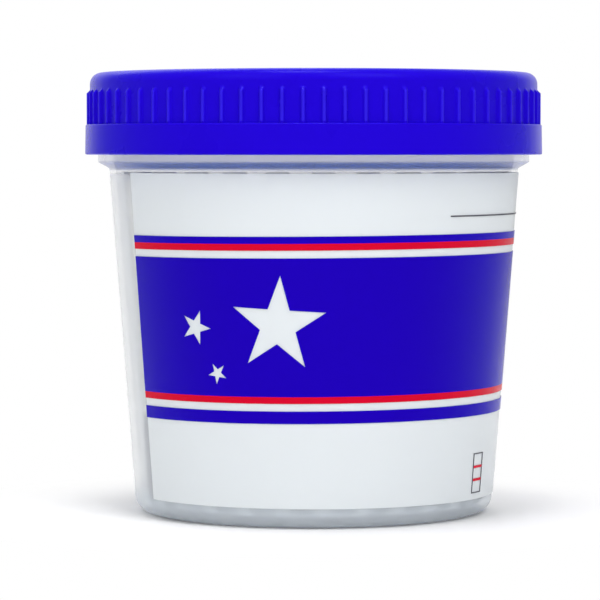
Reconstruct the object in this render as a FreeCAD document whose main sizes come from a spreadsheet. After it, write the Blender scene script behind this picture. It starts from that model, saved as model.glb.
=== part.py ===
import FreeCAD
import Part
import Sketcher
import math
import os

# Drug test cup: a translucent tapered cup with a screw lid, a row of test strips against the inside
# of its wall and a peel-off label over them. Sizes are in millimetres and degrees.
# The origin is the centre of the foot ring on the floor plane, +Z is up, and the front of the label
# faces -Y. Angles round the cup are counted from the front towards +X.

SIZES = [
    # Cup
    ("base_radius", 34.25, "outside of the wall, carried down to the floor plane"),
    ("draft_angle", 4.44, "lean of the wall and of everything that lies against it"),
    ("wall", 1.2, "cup wall, measured level"),
    ("shoulder_height", 66.0, "where the wall meets the collar"),
    ("corner_radius", 3.0, "outer rounding at the foot of the wall"),
    ("inner_corner_radius", 1.0, "rounding between floor and wall inside"),
    ("foot_height", 0.8, "how far the foot ring stands below the floor"),
    ("foot_width", 2.4, "flat width of the foot ring"),
    ("floor_thickness", 1.2, "cup floor"),
    # Collar and neck
    ("neck_step", 0.63, "how far the neck stands out from the top of the wall"),
    ("neck_wall", 1.4, "neck wall under the thread"),
    ("collar_proud", 1.5, "how far the collar stands out from the neck"),
    ("collar_slope", 1.2, "height of the collar's sloping underside"),
    ("collar_height", 2.6, "height of the collar's upright face"),
    ("rim_margin", 1.1, "from the top of the neck thread to the rim"),
    ("rim_bevel", 0.3, "bevel of the rim's two edges"),
    # Thread, the same on the neck and in the lid
    ("thread_lead", 5.08, "rise in one turn"),
    ("thread_turns", 1.25, "turns of the ridge"),
    ("thread_proud", 1.5, "height of the ridge"),
    ("thread_root", 2.2, "width of the ridge at its root"),
    ("thread_crest", 1.3, "width of the ridge at its crest"),
    ("thread_depth", 0.4, "how deep the ridge is rooted in the wall"),
    ("thread_seat", 0.6, "how far the lid's ridge sits above the middle of the neck's groove"),
    ("thread_collar_gap", 0.4, "between the collar and the end of the lid's ridge"),
    # Lid
    ("lid_clearance", 0.35, "between the lid's skirt and the neck thread or the collar"),
    ("lid_wall", 1.2, "skirt wall above the band"),
    ("lid_plate", 1.5, "top plate"),
    ("lid_overlap", 1.2, "how far the skirt reaches down over the collar"),
    ("lid_corner_radius", 2.2, "rounding of the lid's top edge"),
    ("band_height", 5.8, "height of the plain band at the foot of the skirt"),
    ("band_proud", 0.85, "how far the top of the band stands out from the skirt"),
    ("band_flare", 0.1, "how much wider the band is at its foot"),
    ("band_bevel", 0.3, "bevel of the band's two edges"),
    ("rib_count", 72, "grip ribs"),
    ("rib_root", 1.4, "width of a rib at its root, inside the skirt"),
    ("rib_crest", 0.6, "width of a rib at its crest"),
    ("rib_proud", 0.65, "how far a rib stands out from the skirt"),
    ("rib_margin", 3.3, "from the top of the ribs to the top of the lid"),
    # Liner
    ("liner_thickness", 1.0, "foam disc pressed between rim and lid"),
    ("liner_clearance", 0.4, "between the disc's edge and the skirt"),
    # Strip carrier
    ("strip_count", 12, "test strips"),
    ("strip_pitch", 12.8, "angle between two strips"),
    ("carrier_angle", 2.7, "middle of the row of strips"),
    ("carrier_clearance", 0.15, "between the carrier and the cup wall"),
    ("carrier_back", 1.0, "carrier wall behind the strips"),
    ("carrier_headroom", 0.6, "from the top of the carrier's ribs to the shoulder"),
    ("pocket_depth", 1.5, "depth of a strip's pocket"),
    ("pocket_clearance", 0.15, "between a strip and each side of its pocket"),
    ("notch_depth", 1.2, "how far the ribs stand above the carrier's back"),
    # Test strips
    ("strip_width", 4.0, "width of a strip"),
    ("strip_floor_gap", 0.3, "between the end of a strip and the cup floor"),
    ("strip_top_gap", 0.4, "between the end of a strip and the top of its pocket"),
    ("backing_thickness", 0.3, "plastic card"),
    ("pad_thickness", 0.8, "sample pad and absorbent pad"),
    ("membrane_thickness", 0.2, "test membrane"),
    ("sample_pad_length", 17.0, "pad that stands in the sample"),
    ("absorbent_pad_length", 18.0, "pad at the upper end"),
    # Label
    ("label_start", -60.3, "left edge of the label"),
    ("label_sweep", 186.3, "angle that the label covers"),
    ("label_foot_margin", 0.7, "from the corner rounding to the label"),
    ("label_head_margin", 0.8, "from the label to the shoulder"),
    ("glue_thickness", 0.05, "adhesive between the wall and the film"),
    ("film_thickness", 0.15, "label film"),
    ("print_clearance", 0.05, "between the film and the layer of ink"),
    ("ink_thickness", 0.08, "print on the film"),
    # Print, measured from the edges of the label or of the field that it belongs to
    ("upper_blue_drop", 11.4, "from the label's upper edge to the thin blue stripe"),
    ("upper_blue_width", 1.3, "thin blue stripe"),
    ("lower_blue_rise", 15.8, "from the label's lower edge to the broad blue stripe"),
    ("lower_blue_width", 2.3, "broad blue stripe"),
    ("red_width", 1.25, "each red stripe"),
    ("white_width", 1.4, "each bare stripe"),
    ("star_waist", 0.382, "inner radius of a star as a share of its outer radius"),
    ("large_star_radius", 9.1, "large star"),
    ("large_star_angle", 50.3, "from the label's left edge"),
    ("large_star_rise", 13.2, "from the foot of the field"),
    ("large_star_turn", 3.5, "lean of the star to the right"),
    ("middle_star_radius", 3.4, "middle star"),
    ("middle_star_angle", 24.8, "from the label's left edge"),
    ("middle_star_rise", 12.6, "from the foot of the field"),
    ("middle_star_turn", 21.0, "lean of the star to the right"),
    ("small_star_radius", 2.05, "small star"),
    ("small_star_angle", 31.6, "from the label's left edge"),
    ("small_star_rise", 4.2, "from the foot of the field"),
    ("small_star_turn", -28.5, "lean of the star to the right"),
    ("write_line_angle", 100.7, "from the label's left edge to the write-in line"),
    ("write_line_sweep", 54.6, "angle that the line covers"),
    ("write_line_drop", 8.2, "from the label's upper edge to the line"),
    ("write_line_width", 0.25, "thickness of the line"),
    ("key_angle", 118.5, "from the label's left edge to the key to the results"),
    ("key_sweep", 6.1, "angle that the key covers"),
    ("key_rise", 1.0, "from the label's lower edge to the key"),
    ("key_height", 7.6, "height of the key's frame"),
    ("key_border", 0.2, "line width of the key's frame"),
    ("key_control_rise", 4.75, "from the foot of the key to its upper red line"),
    ("key_test_rise", 2.3, "from the foot of the key to its lower red line"),
    ("key_line_width", 0.5, "each red line of the key"),
]

# Heights and radii that several sub-parts share, as expressions on the sheet
LEAN = "(Sizes.draft_angle * 1 deg)"
CUT_OVER = "2"
STAR_POINTS = 5
PROUDEST = "max(Sizes.thread_proud; Sizes.collar_proud)"


def wall_radius(height):
    """Outside radius of the cup's wall at a height."""
    return f"(Sizes.base_radius + ({height}) * tan({LEAN}))"


def bore_radius(height):
    """Inside radius of the cup's wall at a height."""
    return f"({wall_radius(height)} - Sizes.wall)"


def carrier_radius(height):
    """Outside radius of the strip carrier at a height."""
    return f"({bore_radius(height)} - Sizes.carrier_clearance)"


FLOOR_TOP = "(Sizes.foot_height + Sizes.floor_thickness)"
NECK = f"({wall_radius('Sizes.shoulder_height')} + Sizes.neck_step)"
COLLAR = f"({NECK} + Sizes.collar_proud)"
COLLAR_FOOT = "(Sizes.shoulder_height + Sizes.collar_slope)"
COLLAR_TOP = f"({COLLAR_FOOT} + Sizes.collar_height)"
LID_THREAD_START = f"({COLLAR_TOP} + Sizes.thread_collar_gap + Sizes.thread_root / 2)"
NECK_THREAD_START = f"({LID_THREAD_START} + Sizes.thread_lead / 2 - Sizes.thread_seat)"
THREAD_RISE = "(Sizes.thread_lead * Sizes.thread_turns)"
RIM = f"({NECK_THREAD_START} + {THREAD_RISE} + Sizes.thread_root / 2 + Sizes.rim_margin)"
PLATE_FOOT = f"({RIM} + Sizes.liner_thickness)"
LID_BORE = f"({NECK} + {PROUDEST} + Sizes.lid_clearance)"
LID_SKIRT = f"({LID_BORE} + Sizes.lid_wall)"
LID_FOOT = f"({COLLAR_TOP} - Sizes.lid_overlap)"
LID_TOP = f"({PLATE_FOOT} + Sizes.lid_plate)"
LEDGE = f"({LID_FOOT} + Sizes.band_height)"
HALF_RIB = "(180 / Sizes.rib_count)"
CARRIER_TOP = "(Sizes.shoulder_height - Sizes.carrier_headroom)"
POCKET_TOP = f"({CARRIER_TOP} - Sizes.notch_depth)"
POCKET_FLOOR = "(Sizes.base_radius - Sizes.wall - Sizes.carrier_clearance - Sizes.pocket_depth)"
STRIP_START = f"(({FLOOR_TOP} + Sizes.strip_floor_gap) / cos({LEAN}))"
STRIP_LENGTH = f"(({POCKET_TOP} - Sizes.strip_top_gap) / cos({LEAN}) - {STRIP_START})"
LABEL_FOOT = "(Sizes.corner_radius + Sizes.label_foot_margin)"
LABEL_HEAD = "(Sizes.shoulder_height - Sizes.label_head_margin)"
FIELD_FOOT = (
    f"({LABEL_FOOT} + Sizes.lower_blue_rise + Sizes.lower_blue_width + Sizes.white_width"
    " + Sizes.red_width)"
)
UPPER_RED_FOOT = f"({LABEL_HEAD} - Sizes.upper_blue_drop - Sizes.upper_blue_width - Sizes.red_width)"
FIELD_HEAD = f"({UPPER_RED_FOOT} - Sizes.white_width)"
KEY_FOOT = f"({LABEL_FOOT} + Sizes.key_rise)"


def make_sheet(doc):
    """The driving sizes, one to a row, each with an alias and a note."""
    sheet = doc.addObject("Spreadsheet::Sheet", "Sizes")
    for row, (alias, value, note) in enumerate(SIZES, start=1):
        sheet.set(f"A{row}", alias)
        sheet.set(f"B{row}", str(value))
        sheet.set(f"C{row}", note)
        sheet.setAlias(f"B{row}", alias)
    doc.recompute()
    return sheet


def number(owner, expression):
    """The value of an expression on the sheet, as a plain number."""
    value = owner.evalExpression(expression)
    return float(getattr(value, "Value", value))


def origin_feature(body, role):
    """One of the body's own origin planes or axes."""
    return next(item for item in body.Origin.OriginFeatures if item.Role == role)


def outline_sketch(body, name, points, plane="XZ_Plane"):
    """A closed outline on one of the body's planes, each corner held at its distances."""
    sketch = body.newObject("Sketcher::SketchObject", name)
    sketch.AttachmentSupport = [(origin_feature(body, plane), "")]
    sketch.MapMode = "FlatFace"
    corners = [FreeCAD.Vector(number(sketch, x), number(sketch, y), 0) for x, y in points]
    count = len(corners)
    for index, corner in enumerate(corners):
        sketch.addGeometry(Part.LineSegment(corner, corners[(index + 1) % count]), False)
    for index in range(count):
        sketch.addConstraint(Sketcher.Constraint("Coincident", index, 2, (index + 1) % count, 1))
    for index, (across, up) in enumerate(points):
        corner = corners[index]
        for kind, expression, value in (("X", across, corner.x), ("Y", up, corner.y)):
            held = Sketcher.Constraint(f"Distance{kind}", -1, 1, index, 1, value)
            place = sketch.addConstraint(held)
            sketch.renameConstraint(place, f"corner{index}{kind}")
            sketch.setExpression(f"Constraints.corner{index}{kind}", expression)
    return sketch


def revolve(body, name, sketch, angle="360"):
    """The outline turned about the body's Z axis, half to each side of its plane."""
    feature = body.newObject("PartDesign::Revolution", name)
    feature.Profile = sketch
    feature.ReferenceAxis = (sketch, ["V_Axis"])
    feature.Midplane = True
    feature.setExpression("Angle", angle)
    feature.Document.recompute()
    return feature


def ring_edges(feature, radius, height):
    """Names of the round edges of a feature that have this radius and height."""
    wanted_radius = number(feature, radius)
    wanted_height = number(feature, height)
    names = []
    for index, edge in enumerate(feature.Shape.Edges, start=1):
        curve = edge.Curve
        if not isinstance(curve, Part.Circle):
            continue
        if math.isclose(curve.Radius, wanted_radius, abs_tol=1e-4) and math.isclose(
            curve.Center.z, wanted_height, abs_tol=1e-4
        ):
            names.append(f"Edge{index}")
    if not names:
        raise RuntimeError(f"{feature.Name} has no round edge at {wanted_radius}, {wanted_height}")
    return names


def ease_edges(body, name, feature, rings, size, kind="Fillet"):
    """A fillet or a chamfer on round edges, each given by its radius and height."""
    eased = body.newObject(f"PartDesign::{kind}", name)
    names = [edge for ring in rings for edge in ring_edges(feature, *ring)]
    eased.Base = (feature, names)
    eased.setExpression("Radius" if kind == "Fillet" else "Size", size)
    eased.Document.recompute()
    return eased


def thread_ridge(body, name, root, direction, middle):
    """A right-hand ridge on a round wall: direction 1 stands outwards and -1 inwards."""
    foot = f"({root} - {direction} * Sizes.thread_depth)"
    crest = f"({root} + {direction} * Sizes.thread_proud)"
    outline = outline_sketch(
        body,
        f"{name}_outline",
        [
            (foot, f"{middle} - Sizes.thread_root / 2"),
            (crest, f"{middle} - Sizes.thread_crest / 2"),
            (crest, f"{middle} + Sizes.thread_crest / 2"),
            (foot, f"{middle} + Sizes.thread_root / 2"),
        ],
    )
    ridge = body.newObject("PartDesign::AdditiveHelix", name)
    ridge.Profile = outline
    ridge.ReferenceAxis = (origin_feature(body, "Z_Axis"), [""])
    ridge.Mode = "pitch-turns-angle"
    ridge.setExpression("Pitch", "Sizes.thread_lead")
    ridge.setExpression("Turns", "Sizes.thread_turns")
    body.Document.recompute()
    body.Tip = ridge
    return ridge


def make_cup(doc):
    """The moulded cup: foot ring, leaning wall, collar and threaded neck."""
    body = doc.addObject("PartDesign::Body", "Cup")
    foot_inside = "Sizes.base_radius - Sizes.corner_radius - Sizes.foot_width"
    neck_inside = f"{NECK} - Sizes.neck_wall"
    outline = outline_sketch(
        body,
        "cup_outline",
        [
            ("0", "Sizes.foot_height"),
            (foot_inside, "Sizes.foot_height"),
            (foot_inside, "0"),
            ("Sizes.base_radius", "0"),
            (wall_radius("Sizes.shoulder_height"), "Sizes.shoulder_height"),
            (COLLAR, COLLAR_FOOT),
            (COLLAR, COLLAR_TOP),
            (NECK, COLLAR_TOP),
            (NECK, RIM),
            (neck_inside, RIM),
            (neck_inside, COLLAR_FOOT),
            (bore_radius("Sizes.shoulder_height"), "Sizes.shoulder_height"),
            (bore_radius(FLOOR_TOP), FLOOR_TOP),
            ("0", FLOOR_TOP),
        ],
    )
    solid = revolve(body, "cup_wall", outline)
    foot_edge = [("Sizes.base_radius", "0")]
    solid = ease_edges(body, "foot_rounding", solid, foot_edge, "Sizes.corner_radius")
    floor_edge = [(bore_radius(FLOOR_TOP), FLOOR_TOP)]
    solid = ease_edges(body, "floor_rounding", solid, floor_edge, "Sizes.inner_corner_radius")
    rim_edges = [(NECK, RIM), (neck_inside, RIM)]
    ease_edges(body, "rim_bevels", solid, rim_edges, "Sizes.rim_bevel", "Chamfer")
    thread_ridge(body, "neck_thread", NECK, 1, NECK_THREAD_START)
    return body


def make_lid(doc):
    """The screw lid: top plate, ribbed skirt with a plain band, and the thread inside."""
    body = doc.addObject("PartDesign::Body", "Lid")
    band_top = f"({LID_SKIRT} + Sizes.band_proud)"
    band_foot = f"({band_top} + Sizes.band_flare)"
    outline = outline_sketch(
        body,
        "lid_outline",
        [
            (LID_BORE, LID_FOOT),
            (band_foot, LID_FOOT),
            (band_top, LEDGE),
            (LID_SKIRT, LEDGE),
            (LID_SKIRT, LID_TOP),
            ("0", LID_TOP),
            ("0", PLATE_FOOT),
            (LID_BORE, PLATE_FOOT),
        ],
    )
    shell = revolve(body, "lid_shell", outline)
    corner_edge = [(LID_SKIRT, LID_TOP)]
    shell = ease_edges(body, "lid_corner", shell, corner_edge, "Sizes.lid_corner_radius")
    band_edges = [(band_foot, LID_FOOT), (band_top, LEDGE)]
    ease_edges(body, "band_bevels", shell, band_edges, "Sizes.band_bevel", "Chamfer")
    grip_ribs(body)
    thread_ridge(body, "lid_thread", LID_BORE, -1, LID_THREAD_START)
    body.setExpression(
        "Placement", f"placement(vector(0; 0; 0); rotation(vector(0; 0; 1); {HALF_RIB}))"
    )
    return body


def grip_ribs(body):
    """Upright ribs with sloping flanks that stand on the band, and one cut that slopes their heads."""
    root = f"({LID_SKIRT} - Sizes.lid_wall / 2)"
    crest = f"({LID_SKIRT} + Sizes.rib_proud)"
    foot = f"({LEDGE} - Sizes.band_bevel)"
    head = f"({LID_TOP} - Sizes.rib_margin)"
    plan = outline_sketch(
        body,
        "rib_plan",
        [
            (root, "-Sizes.rib_root / 2"),
            (crest, "-Sizes.rib_crest / 2"),
            (crest, "Sizes.rib_crest / 2"),
            (root, "Sizes.rib_root / 2"),
        ],
        "XY_Plane",
    )
    plan.setExpression("AttachmentOffset.Base.z", foot)
    rib = body.newObject("PartDesign::Pad", "grip_rib")
    rib.Profile = plan
    rib.setExpression("Length", f"{head} - {foot}")
    body.Document.recompute()
    pattern = body.newObject("PartDesign::PolarPattern", "grip_ribs")
    pattern.Originals = [rib]
    pattern.Axis = (origin_feature(body, "Z_Axis"), [""])
    pattern.setExpression("Occurrences", "Sizes.rib_count")
    pattern.Angle = 360
    body.Tip = pattern
    body.Document.recompute()
    beyond = f"({crest} + {CUT_OVER})"
    slope = outline_sketch(
        body,
        "rib_head_outline",
        [(LID_SKIRT, head), (beyond, head), (beyond, f"({head} - {beyond} + {LID_SKIRT})")],
    )
    heads = body.newObject("PartDesign::Groove", "rib_heads")
    heads.Profile = slope
    heads.ReferenceAxis = (slope, ["V_Axis"])
    heads.Midplane = True
    heads.Angle = 360
    body.Tip = heads
    body.Document.recompute()
    if heads.Shape.Volume >= pattern.Shape.Volume:
        raise RuntimeError("the slope of the rib heads cut nothing")


def make_liner(doc):
    """The foam disc in the lid, which seals on the rim."""
    disc = doc.addObject("Part::Cylinder", "Liner")
    disc.setExpression("Radius", f"{LID_BORE} - Sizes.liner_clearance")
    disc.setExpression("Height", "Sizes.liner_thickness")
    disc.setExpression("Placement.Base.z", RIM)
    return disc


def against_wall(angle, across, outwards, along):
    """A place in the leaning frame of a pocket's floor, at an angle round the cup."""
    turn = f"placement(vector(0; 0; 0); rotation(vector(0; 0; 1); {angle}))"
    lean = f"placement(vector(0; -{POCKET_FLOOR}; 0); rotation(vector(1; 0; 0); Sizes.draft_angle))"
    shift = f"placement(vector({across}; -({outwards}); {along}); rotation(vector(0; 0; 1); 0))"
    return f"{turn} * {lean} * {shift}"


def strip_angle(index):
    """Angle of a strip's middle, from the left."""
    middle = "(Sizes.strip_count - 1) / 2"
    return f"(Sizes.carrier_angle + ({index} - {middle}) * Sizes.strip_pitch)"


def set_block(block, length, width, height, place):
    """The sizes and the place of a block."""
    block.setExpression("Length", length)
    block.setExpression("Width", width)
    block.setExpression("Height", height)
    block.setExpression("Placement", place)
    return block


def make_carrier(doc, strips):
    """The curved rack that holds the strips against the wall, with a rib between each two."""
    body = doc.addObject("PartDesign::Body", "Rack")
    thickness = "(Sizes.pocket_depth + Sizes.carrier_back)"
    bevel_top = f"({FLOOR_TOP} + Sizes.inner_corner_radius)"
    outline = outline_sketch(
        body,
        "carrier_outline",
        [
            (f"({carrier_radius(FLOOR_TOP)} - {thickness})", FLOOR_TOP),
            (f"({carrier_radius(FLOOR_TOP)} - Sizes.inner_corner_radius)", FLOOR_TOP),
            (carrier_radius(bevel_top), bevel_top),
            (carrier_radius(CARRIER_TOP), CARRIER_TOP),
            (f"({carrier_radius(CARRIER_TOP)} - {thickness})", CARRIER_TOP),
        ],
    )
    revolve(body, "whole_rack", outline, "Sizes.strip_count * Sizes.strip_pitch")
    body.setExpression(
        "Placement",
        "placement(vector(0; 0; 0); rotation(vector(0; 0; 1); Sizes.carrier_angle - 90))",
    )
    cutters = []
    for index in range(strips):
        cutters += pocket_cutters(doc, index)
    pockets = doc.addObject("Part::MultiFuse", "pockets")
    pockets.Shapes = cutters
    return cut(doc, "Carrier", body, pockets)


def pocket_cutters(doc, index):
    """The blocks that cut one strip's pocket, open outwards and below, and the notch at its head."""
    angle = strip_angle(index)
    width = "(Sizes.strip_width + 2 * Sizes.pocket_clearance)"
    side = f"-{width} / 2"
    mouth = f"(Sizes.pocket_depth + {CUT_OVER})"
    pocket = set_block(
        doc.addObject("Part::Box", f"pocket_{index + 1:02d}"),
        width,
        mouth,
        f"{CARRIER_TOP} + {CUT_OVER}",
        against_wall(angle, side, mouth, "0"),
    )
    notch = set_block(
        doc.addObject("Part::Box", f"notch_{index + 1:02d}"),
        width,
        f"{mouth} + Sizes.carrier_back + {CUT_OVER}",
        f"Sizes.notch_depth + {CUT_OVER}",
        against_wall(angle, side, mouth, f"({POCKET_TOP} / cos({LEAN}))"),
    )
    return [pocket, notch]


def make_strip(doc, index):
    """One test strip: a card with a sample pad, a membrane and an absorbent pad end to end on it."""
    angle = strip_angle(index)
    membrane_length = f"({STRIP_LENGTH} - Sizes.sample_pad_length - Sizes.absorbent_pad_length)"
    pad_out = "(Sizes.backing_thickness + Sizes.pad_thickness)"
    membrane_out = "(Sizes.backing_thickness + Sizes.membrane_thickness)"
    membrane_start = f"({STRIP_START} + Sizes.sample_pad_length)"
    layers = [
        ("backing", "Sizes.backing_thickness", STRIP_LENGTH, "Sizes.backing_thickness", STRIP_START),
        ("sample_pad", "Sizes.pad_thickness", "Sizes.sample_pad_length", pad_out, STRIP_START),
        ("membrane", "Sizes.membrane_thickness", membrane_length, membrane_out, membrane_start),
        (
            "absorbent_pad",
            "Sizes.pad_thickness",
            "Sizes.absorbent_pad_length",
            pad_out,
            f"({membrane_start} + {membrane_length})",
        ),
    ]
    nodes = {}
    for layer, thickness, length, outwards, along in layers:
        name = f"strip_{index + 1:02d}_{layer}"
        place = against_wall(angle, "-Sizes.strip_width / 2", outwards, along)
        block = doc.addObject("Part::Box", name)
        nodes[name] = set_block(block, "Sizes.strip_width", thickness, length, place)
    return nodes


def sector(doc, name, start, sweep, foot, head, outside):
    """A wedge of the cup's cone between two heights, out to a distance from its wall."""
    cone = doc.addObject("Part::Cone", name)
    cone.setExpression("Radius1", f"{wall_radius(foot)} + {outside}")
    cone.setExpression("Radius2", f"{wall_radius(head)} + {outside}")
    cone.setExpression("Height", f"{head} - {foot}")
    cone.setExpression("Angle", sweep)
    cone.setExpression(
        "Placement",
        f"placement(vector(0; 0; {foot}); rotation(vector(0; 0; 1); {start} - 90))",
    )
    return cone


def cut(doc, name, base, tool):
    """One solid less another."""
    result = doc.addObject("Part::Cut", name)
    result.Base = base
    result.Tool = tool
    return result


def wrap(doc, name, start, sweep, foot, head, inside, thickness):
    """A layer of even thickness on the cup's wall."""
    outer = sector(doc, f"{name}_outer", start, sweep, foot, head, f"({inside} + {thickness})")
    inner = sector(doc, f"{name}_inner", start, "360", foot, head, inside)
    return cut(doc, name, outer, inner)


def ink(doc, name, start, sweep, foot, width):
    """A printed field on the label film, from its foot up."""
    head = f"({foot} + {width})"
    ink_back = "(Sizes.glue_thickness + Sizes.film_thickness + Sizes.print_clearance)"
    return wrap(doc, name, start, sweep, foot, head, ink_back, "Sizes.ink_thickness")


def star_cutter(doc, sheet, size):
    """A five-pointed prism that runs from outside the cup through the print."""
    radius = number(sheet, f"Sizes.{size}_star_radius")
    turn = math.radians(number(sheet, f"Sizes.{size}_star_turn"))
    angle = number(sheet, f"Sizes.label_start + Sizes.{size}_star_angle")
    height = number(sheet, f"{FIELD_FOOT} + Sizes.{size}_star_rise")
    reach = number(sheet, f"{wall_radius('Sizes.shoulder_height')} + {CUT_OVER}")
    corners = []
    for step in range(2 * STAR_POINTS):
        length = radius if step % 2 == 0 else radius * sheet.star_waist
        bearing = turn + math.pi * step / STAR_POINTS
        corners.append(FreeCAD.Vector(length * math.sin(bearing), -reach, length * math.cos(bearing)))
    outline = Part.makePolygon(corners + corners[:1])
    prism = doc.addObject("Part::Feature", f"{size}_star")
    prism.Shape = Part.Face(outline).extrude(FreeCAD.Vector(0, reach, 0))
    prism.Placement = FreeCAD.Placement(
        FreeCAD.Vector(0, 0, height), FreeCAD.Rotation(FreeCAD.Vector(0, 0, 1), angle)
    )
    return prism


def compound(doc, name, parts):
    """Separate fields of one ink, printed together."""
    group = doc.addObject("Part::Compound", name)
    group.Links = parts
    return group


def make_label(doc, sheet):
    """The peel-off film and the fields of its blue, red and black print."""
    left, sweep = "Sizes.label_start", "Sizes.label_sweep"
    glue, thickness = "Sizes.glue_thickness", "Sizes.film_thickness"
    film = wrap(doc, "Film", left, sweep, LABEL_FOOT, LABEL_HEAD, glue, thickness)

    field = ink(doc, "whole_field", left, sweep, FIELD_FOOT, f"({FIELD_HEAD} - {FIELD_FOOT})")
    stars = doc.addObject("Part::MultiFuse", "stars")
    stars.Shapes = [star_cutter(doc, sheet, size) for size in ("large", "middle", "small")]
    starred_field = cut(doc, "starred_field", field, stars)
    lower_foot = f"({LABEL_FOOT} + Sizes.lower_blue_rise)"
    upper_foot = f"({UPPER_RED_FOOT} + Sizes.red_width)"
    lower_blue = ink(doc, "lower_blue", left, sweep, lower_foot, "Sizes.lower_blue_width")
    upper_blue = ink(doc, "upper_blue", left, sweep, upper_foot, "Sizes.upper_blue_width")

    lower_red_foot = f"({FIELD_FOOT} - Sizes.red_width)"
    key_left = "(Sizes.label_start + Sizes.key_angle)"
    border_angle = f"(Sizes.key_border / {wall_radius(KEY_FOOT)} * 180 / pi)"
    inner_left = f"({key_left} + {border_angle})"
    inner_sweep = f"(Sizes.key_sweep - 2 * {border_angle})"
    reds = [
        ink(doc, "lower_red", left, sweep, lower_red_foot, "Sizes.red_width"),
        ink(doc, "upper_red", left, sweep, UPPER_RED_FOOT, "Sizes.red_width"),
    ]
    for line in ("control", "test"):
        line_foot = f"({KEY_FOOT} + Sizes.key_{line}_rise)"
        reds.append(
            ink(doc, f"{line}_line", inner_left, inner_sweep, line_foot, "Sizes.key_line_width")
        )

    write_left = f"({left} + Sizes.write_line_angle)"
    write_foot = f"({LABEL_HEAD} - Sizes.write_line_drop)"
    write_line = ink(
        doc, "write_line", write_left, "Sizes.write_line_sweep", write_foot, "Sizes.write_line_width"
    )
    key_plate = ink(doc, "key_plate", key_left, "Sizes.key_sweep", KEY_FOOT, "Sizes.key_height")
    key_window = sector(
        doc,
        "key_window",
        inner_left,
        inner_sweep,
        f"({KEY_FOOT} + Sizes.key_border)",
        f"({KEY_FOOT} + Sizes.key_height - Sizes.key_border)",
        CUT_OVER,
    )
    key_frame = cut(doc, "key_frame", key_plate, key_window)
    return {
        "label_film": film,
        "label_blue_print": compound(doc, "Blue", [starred_field, upper_blue, lower_blue]),
        "label_red_print": compound(doc, "Red", reds),
        "label_black_print": compound(doc, "Black", [write_line, key_frame]),
    }


def check(doc, nodes):
    """Stops on a failed feature or a bad shape."""
    for item in doc.Objects:
        if "Invalid" in item.State or "Error" in item.State:
            raise RuntimeError(f"{item.Name} failed: {item.State}")
    for name, item in nodes.items():
        if item.Shape.isNull() or not item.Shape.isValid() or not item.Shape.Solids:
            raise RuntimeError(f"{name} has no valid solid")


def main():
    doc = FreeCAD.newDocument("drug_test_cup")
    sheet = make_sheet(doc)
    strips = int(sheet.strip_count)
    nodes = {
        "cup": make_cup(doc),
        "screw_lid": make_lid(doc),
        "lid_liner": make_liner(doc),
        "strip_carrier": make_carrier(doc, strips),
    }
    for index in range(strips):
        nodes.update(make_strip(doc, index))
    nodes.update(make_label(doc, sheet))
    doc.recompute()
    check(doc, nodes)
    os.makedirs("parts", exist_ok=True)
    for name, item in nodes.items():
        item.Label = name
        item.Shape.exportStep(f"parts/{item.Label}.step")


main()
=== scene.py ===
import math

import bmesh
import bpy
from bpy.props import FloatProperty, FloatVectorProperty, IntProperty, PointerProperty
from bpy.types import Operator, Panel, PropertyGroup
from mathutils import Matrix, Vector


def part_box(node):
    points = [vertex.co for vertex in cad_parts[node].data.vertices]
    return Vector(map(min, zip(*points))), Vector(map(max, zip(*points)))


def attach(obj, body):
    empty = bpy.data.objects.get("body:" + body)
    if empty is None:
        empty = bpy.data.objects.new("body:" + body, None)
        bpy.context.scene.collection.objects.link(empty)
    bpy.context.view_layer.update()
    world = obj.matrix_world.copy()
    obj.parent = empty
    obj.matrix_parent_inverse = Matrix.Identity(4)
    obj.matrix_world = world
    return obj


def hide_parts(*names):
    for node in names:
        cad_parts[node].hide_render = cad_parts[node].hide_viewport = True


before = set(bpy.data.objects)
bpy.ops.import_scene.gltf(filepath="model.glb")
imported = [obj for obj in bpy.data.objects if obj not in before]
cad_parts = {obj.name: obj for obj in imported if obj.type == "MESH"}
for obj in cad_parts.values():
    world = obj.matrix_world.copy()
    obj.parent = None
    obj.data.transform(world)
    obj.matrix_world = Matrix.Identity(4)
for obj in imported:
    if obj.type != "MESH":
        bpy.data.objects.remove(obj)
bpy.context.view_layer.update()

bl_info = {
    "name": "Screw-lid test cup",
    "version": (1, 0, 0),
    "blender": (4, 5, 0),
    "location": "View3D > Sidebar > Test cup",
    "description": "Builds a frosted test cup with its ribbed screw lid, strips and printed label",
    "category": "Add Mesh",
}

# Angles round the cup are counted from the front, which faces -Y, towards +X.
# Points closer than this are one point, in metres
MERGE = 1e-7
RIB_MERGE = 1e-6
# Vertices at the edge of each rounding keep the flat sides flat: their distance, and the step of the arc
SUPPORT = 0.00012
ARC_STEP = math.radians(14)
# Edges sharper than these stay sharp in the shading
SHARP = math.radians(35)
LID_SHARP = math.radians(50)
# Columns of vertices across half a rib: shares of its crest's half width, then of its side
CREST_STEPS = (0.4, 0.75, 1)
SIDE_STEPS = (0.3, 0.65, 1, 1.3)
# How hollow a rib's side is, where 1 is a straight side
RIB_HOLLOW = 1.6
# The painted highlight on a rib's crest starts at this share of the rib's depth
CREST_HIGHLIGHT_START = 0.65
# Over these distances from the cup's axis the floor goes over to plain white
FLOOR_NEAR, FLOOR_FAR = 0.036, 0.075
# Between these shares of the way to the back, the dim room goes over to the white background
BEHIND_NEAR, BEHIND_FAR = 0.66, 0.97
BODY_CUP, BODY_LINER, BODY_LID = "cup", "liner", "lid"
# Faces round one turn of the thread, round the liner, and along the write-in line and the key
THREAD_STEPS, LINER_STEPS, LINE_STEPS, KEY_STEPS = 144, 128, 52, 8
# Faces within this many radii of a star's middle are cut by its outline
NEAR_STAR = 1.6
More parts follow.
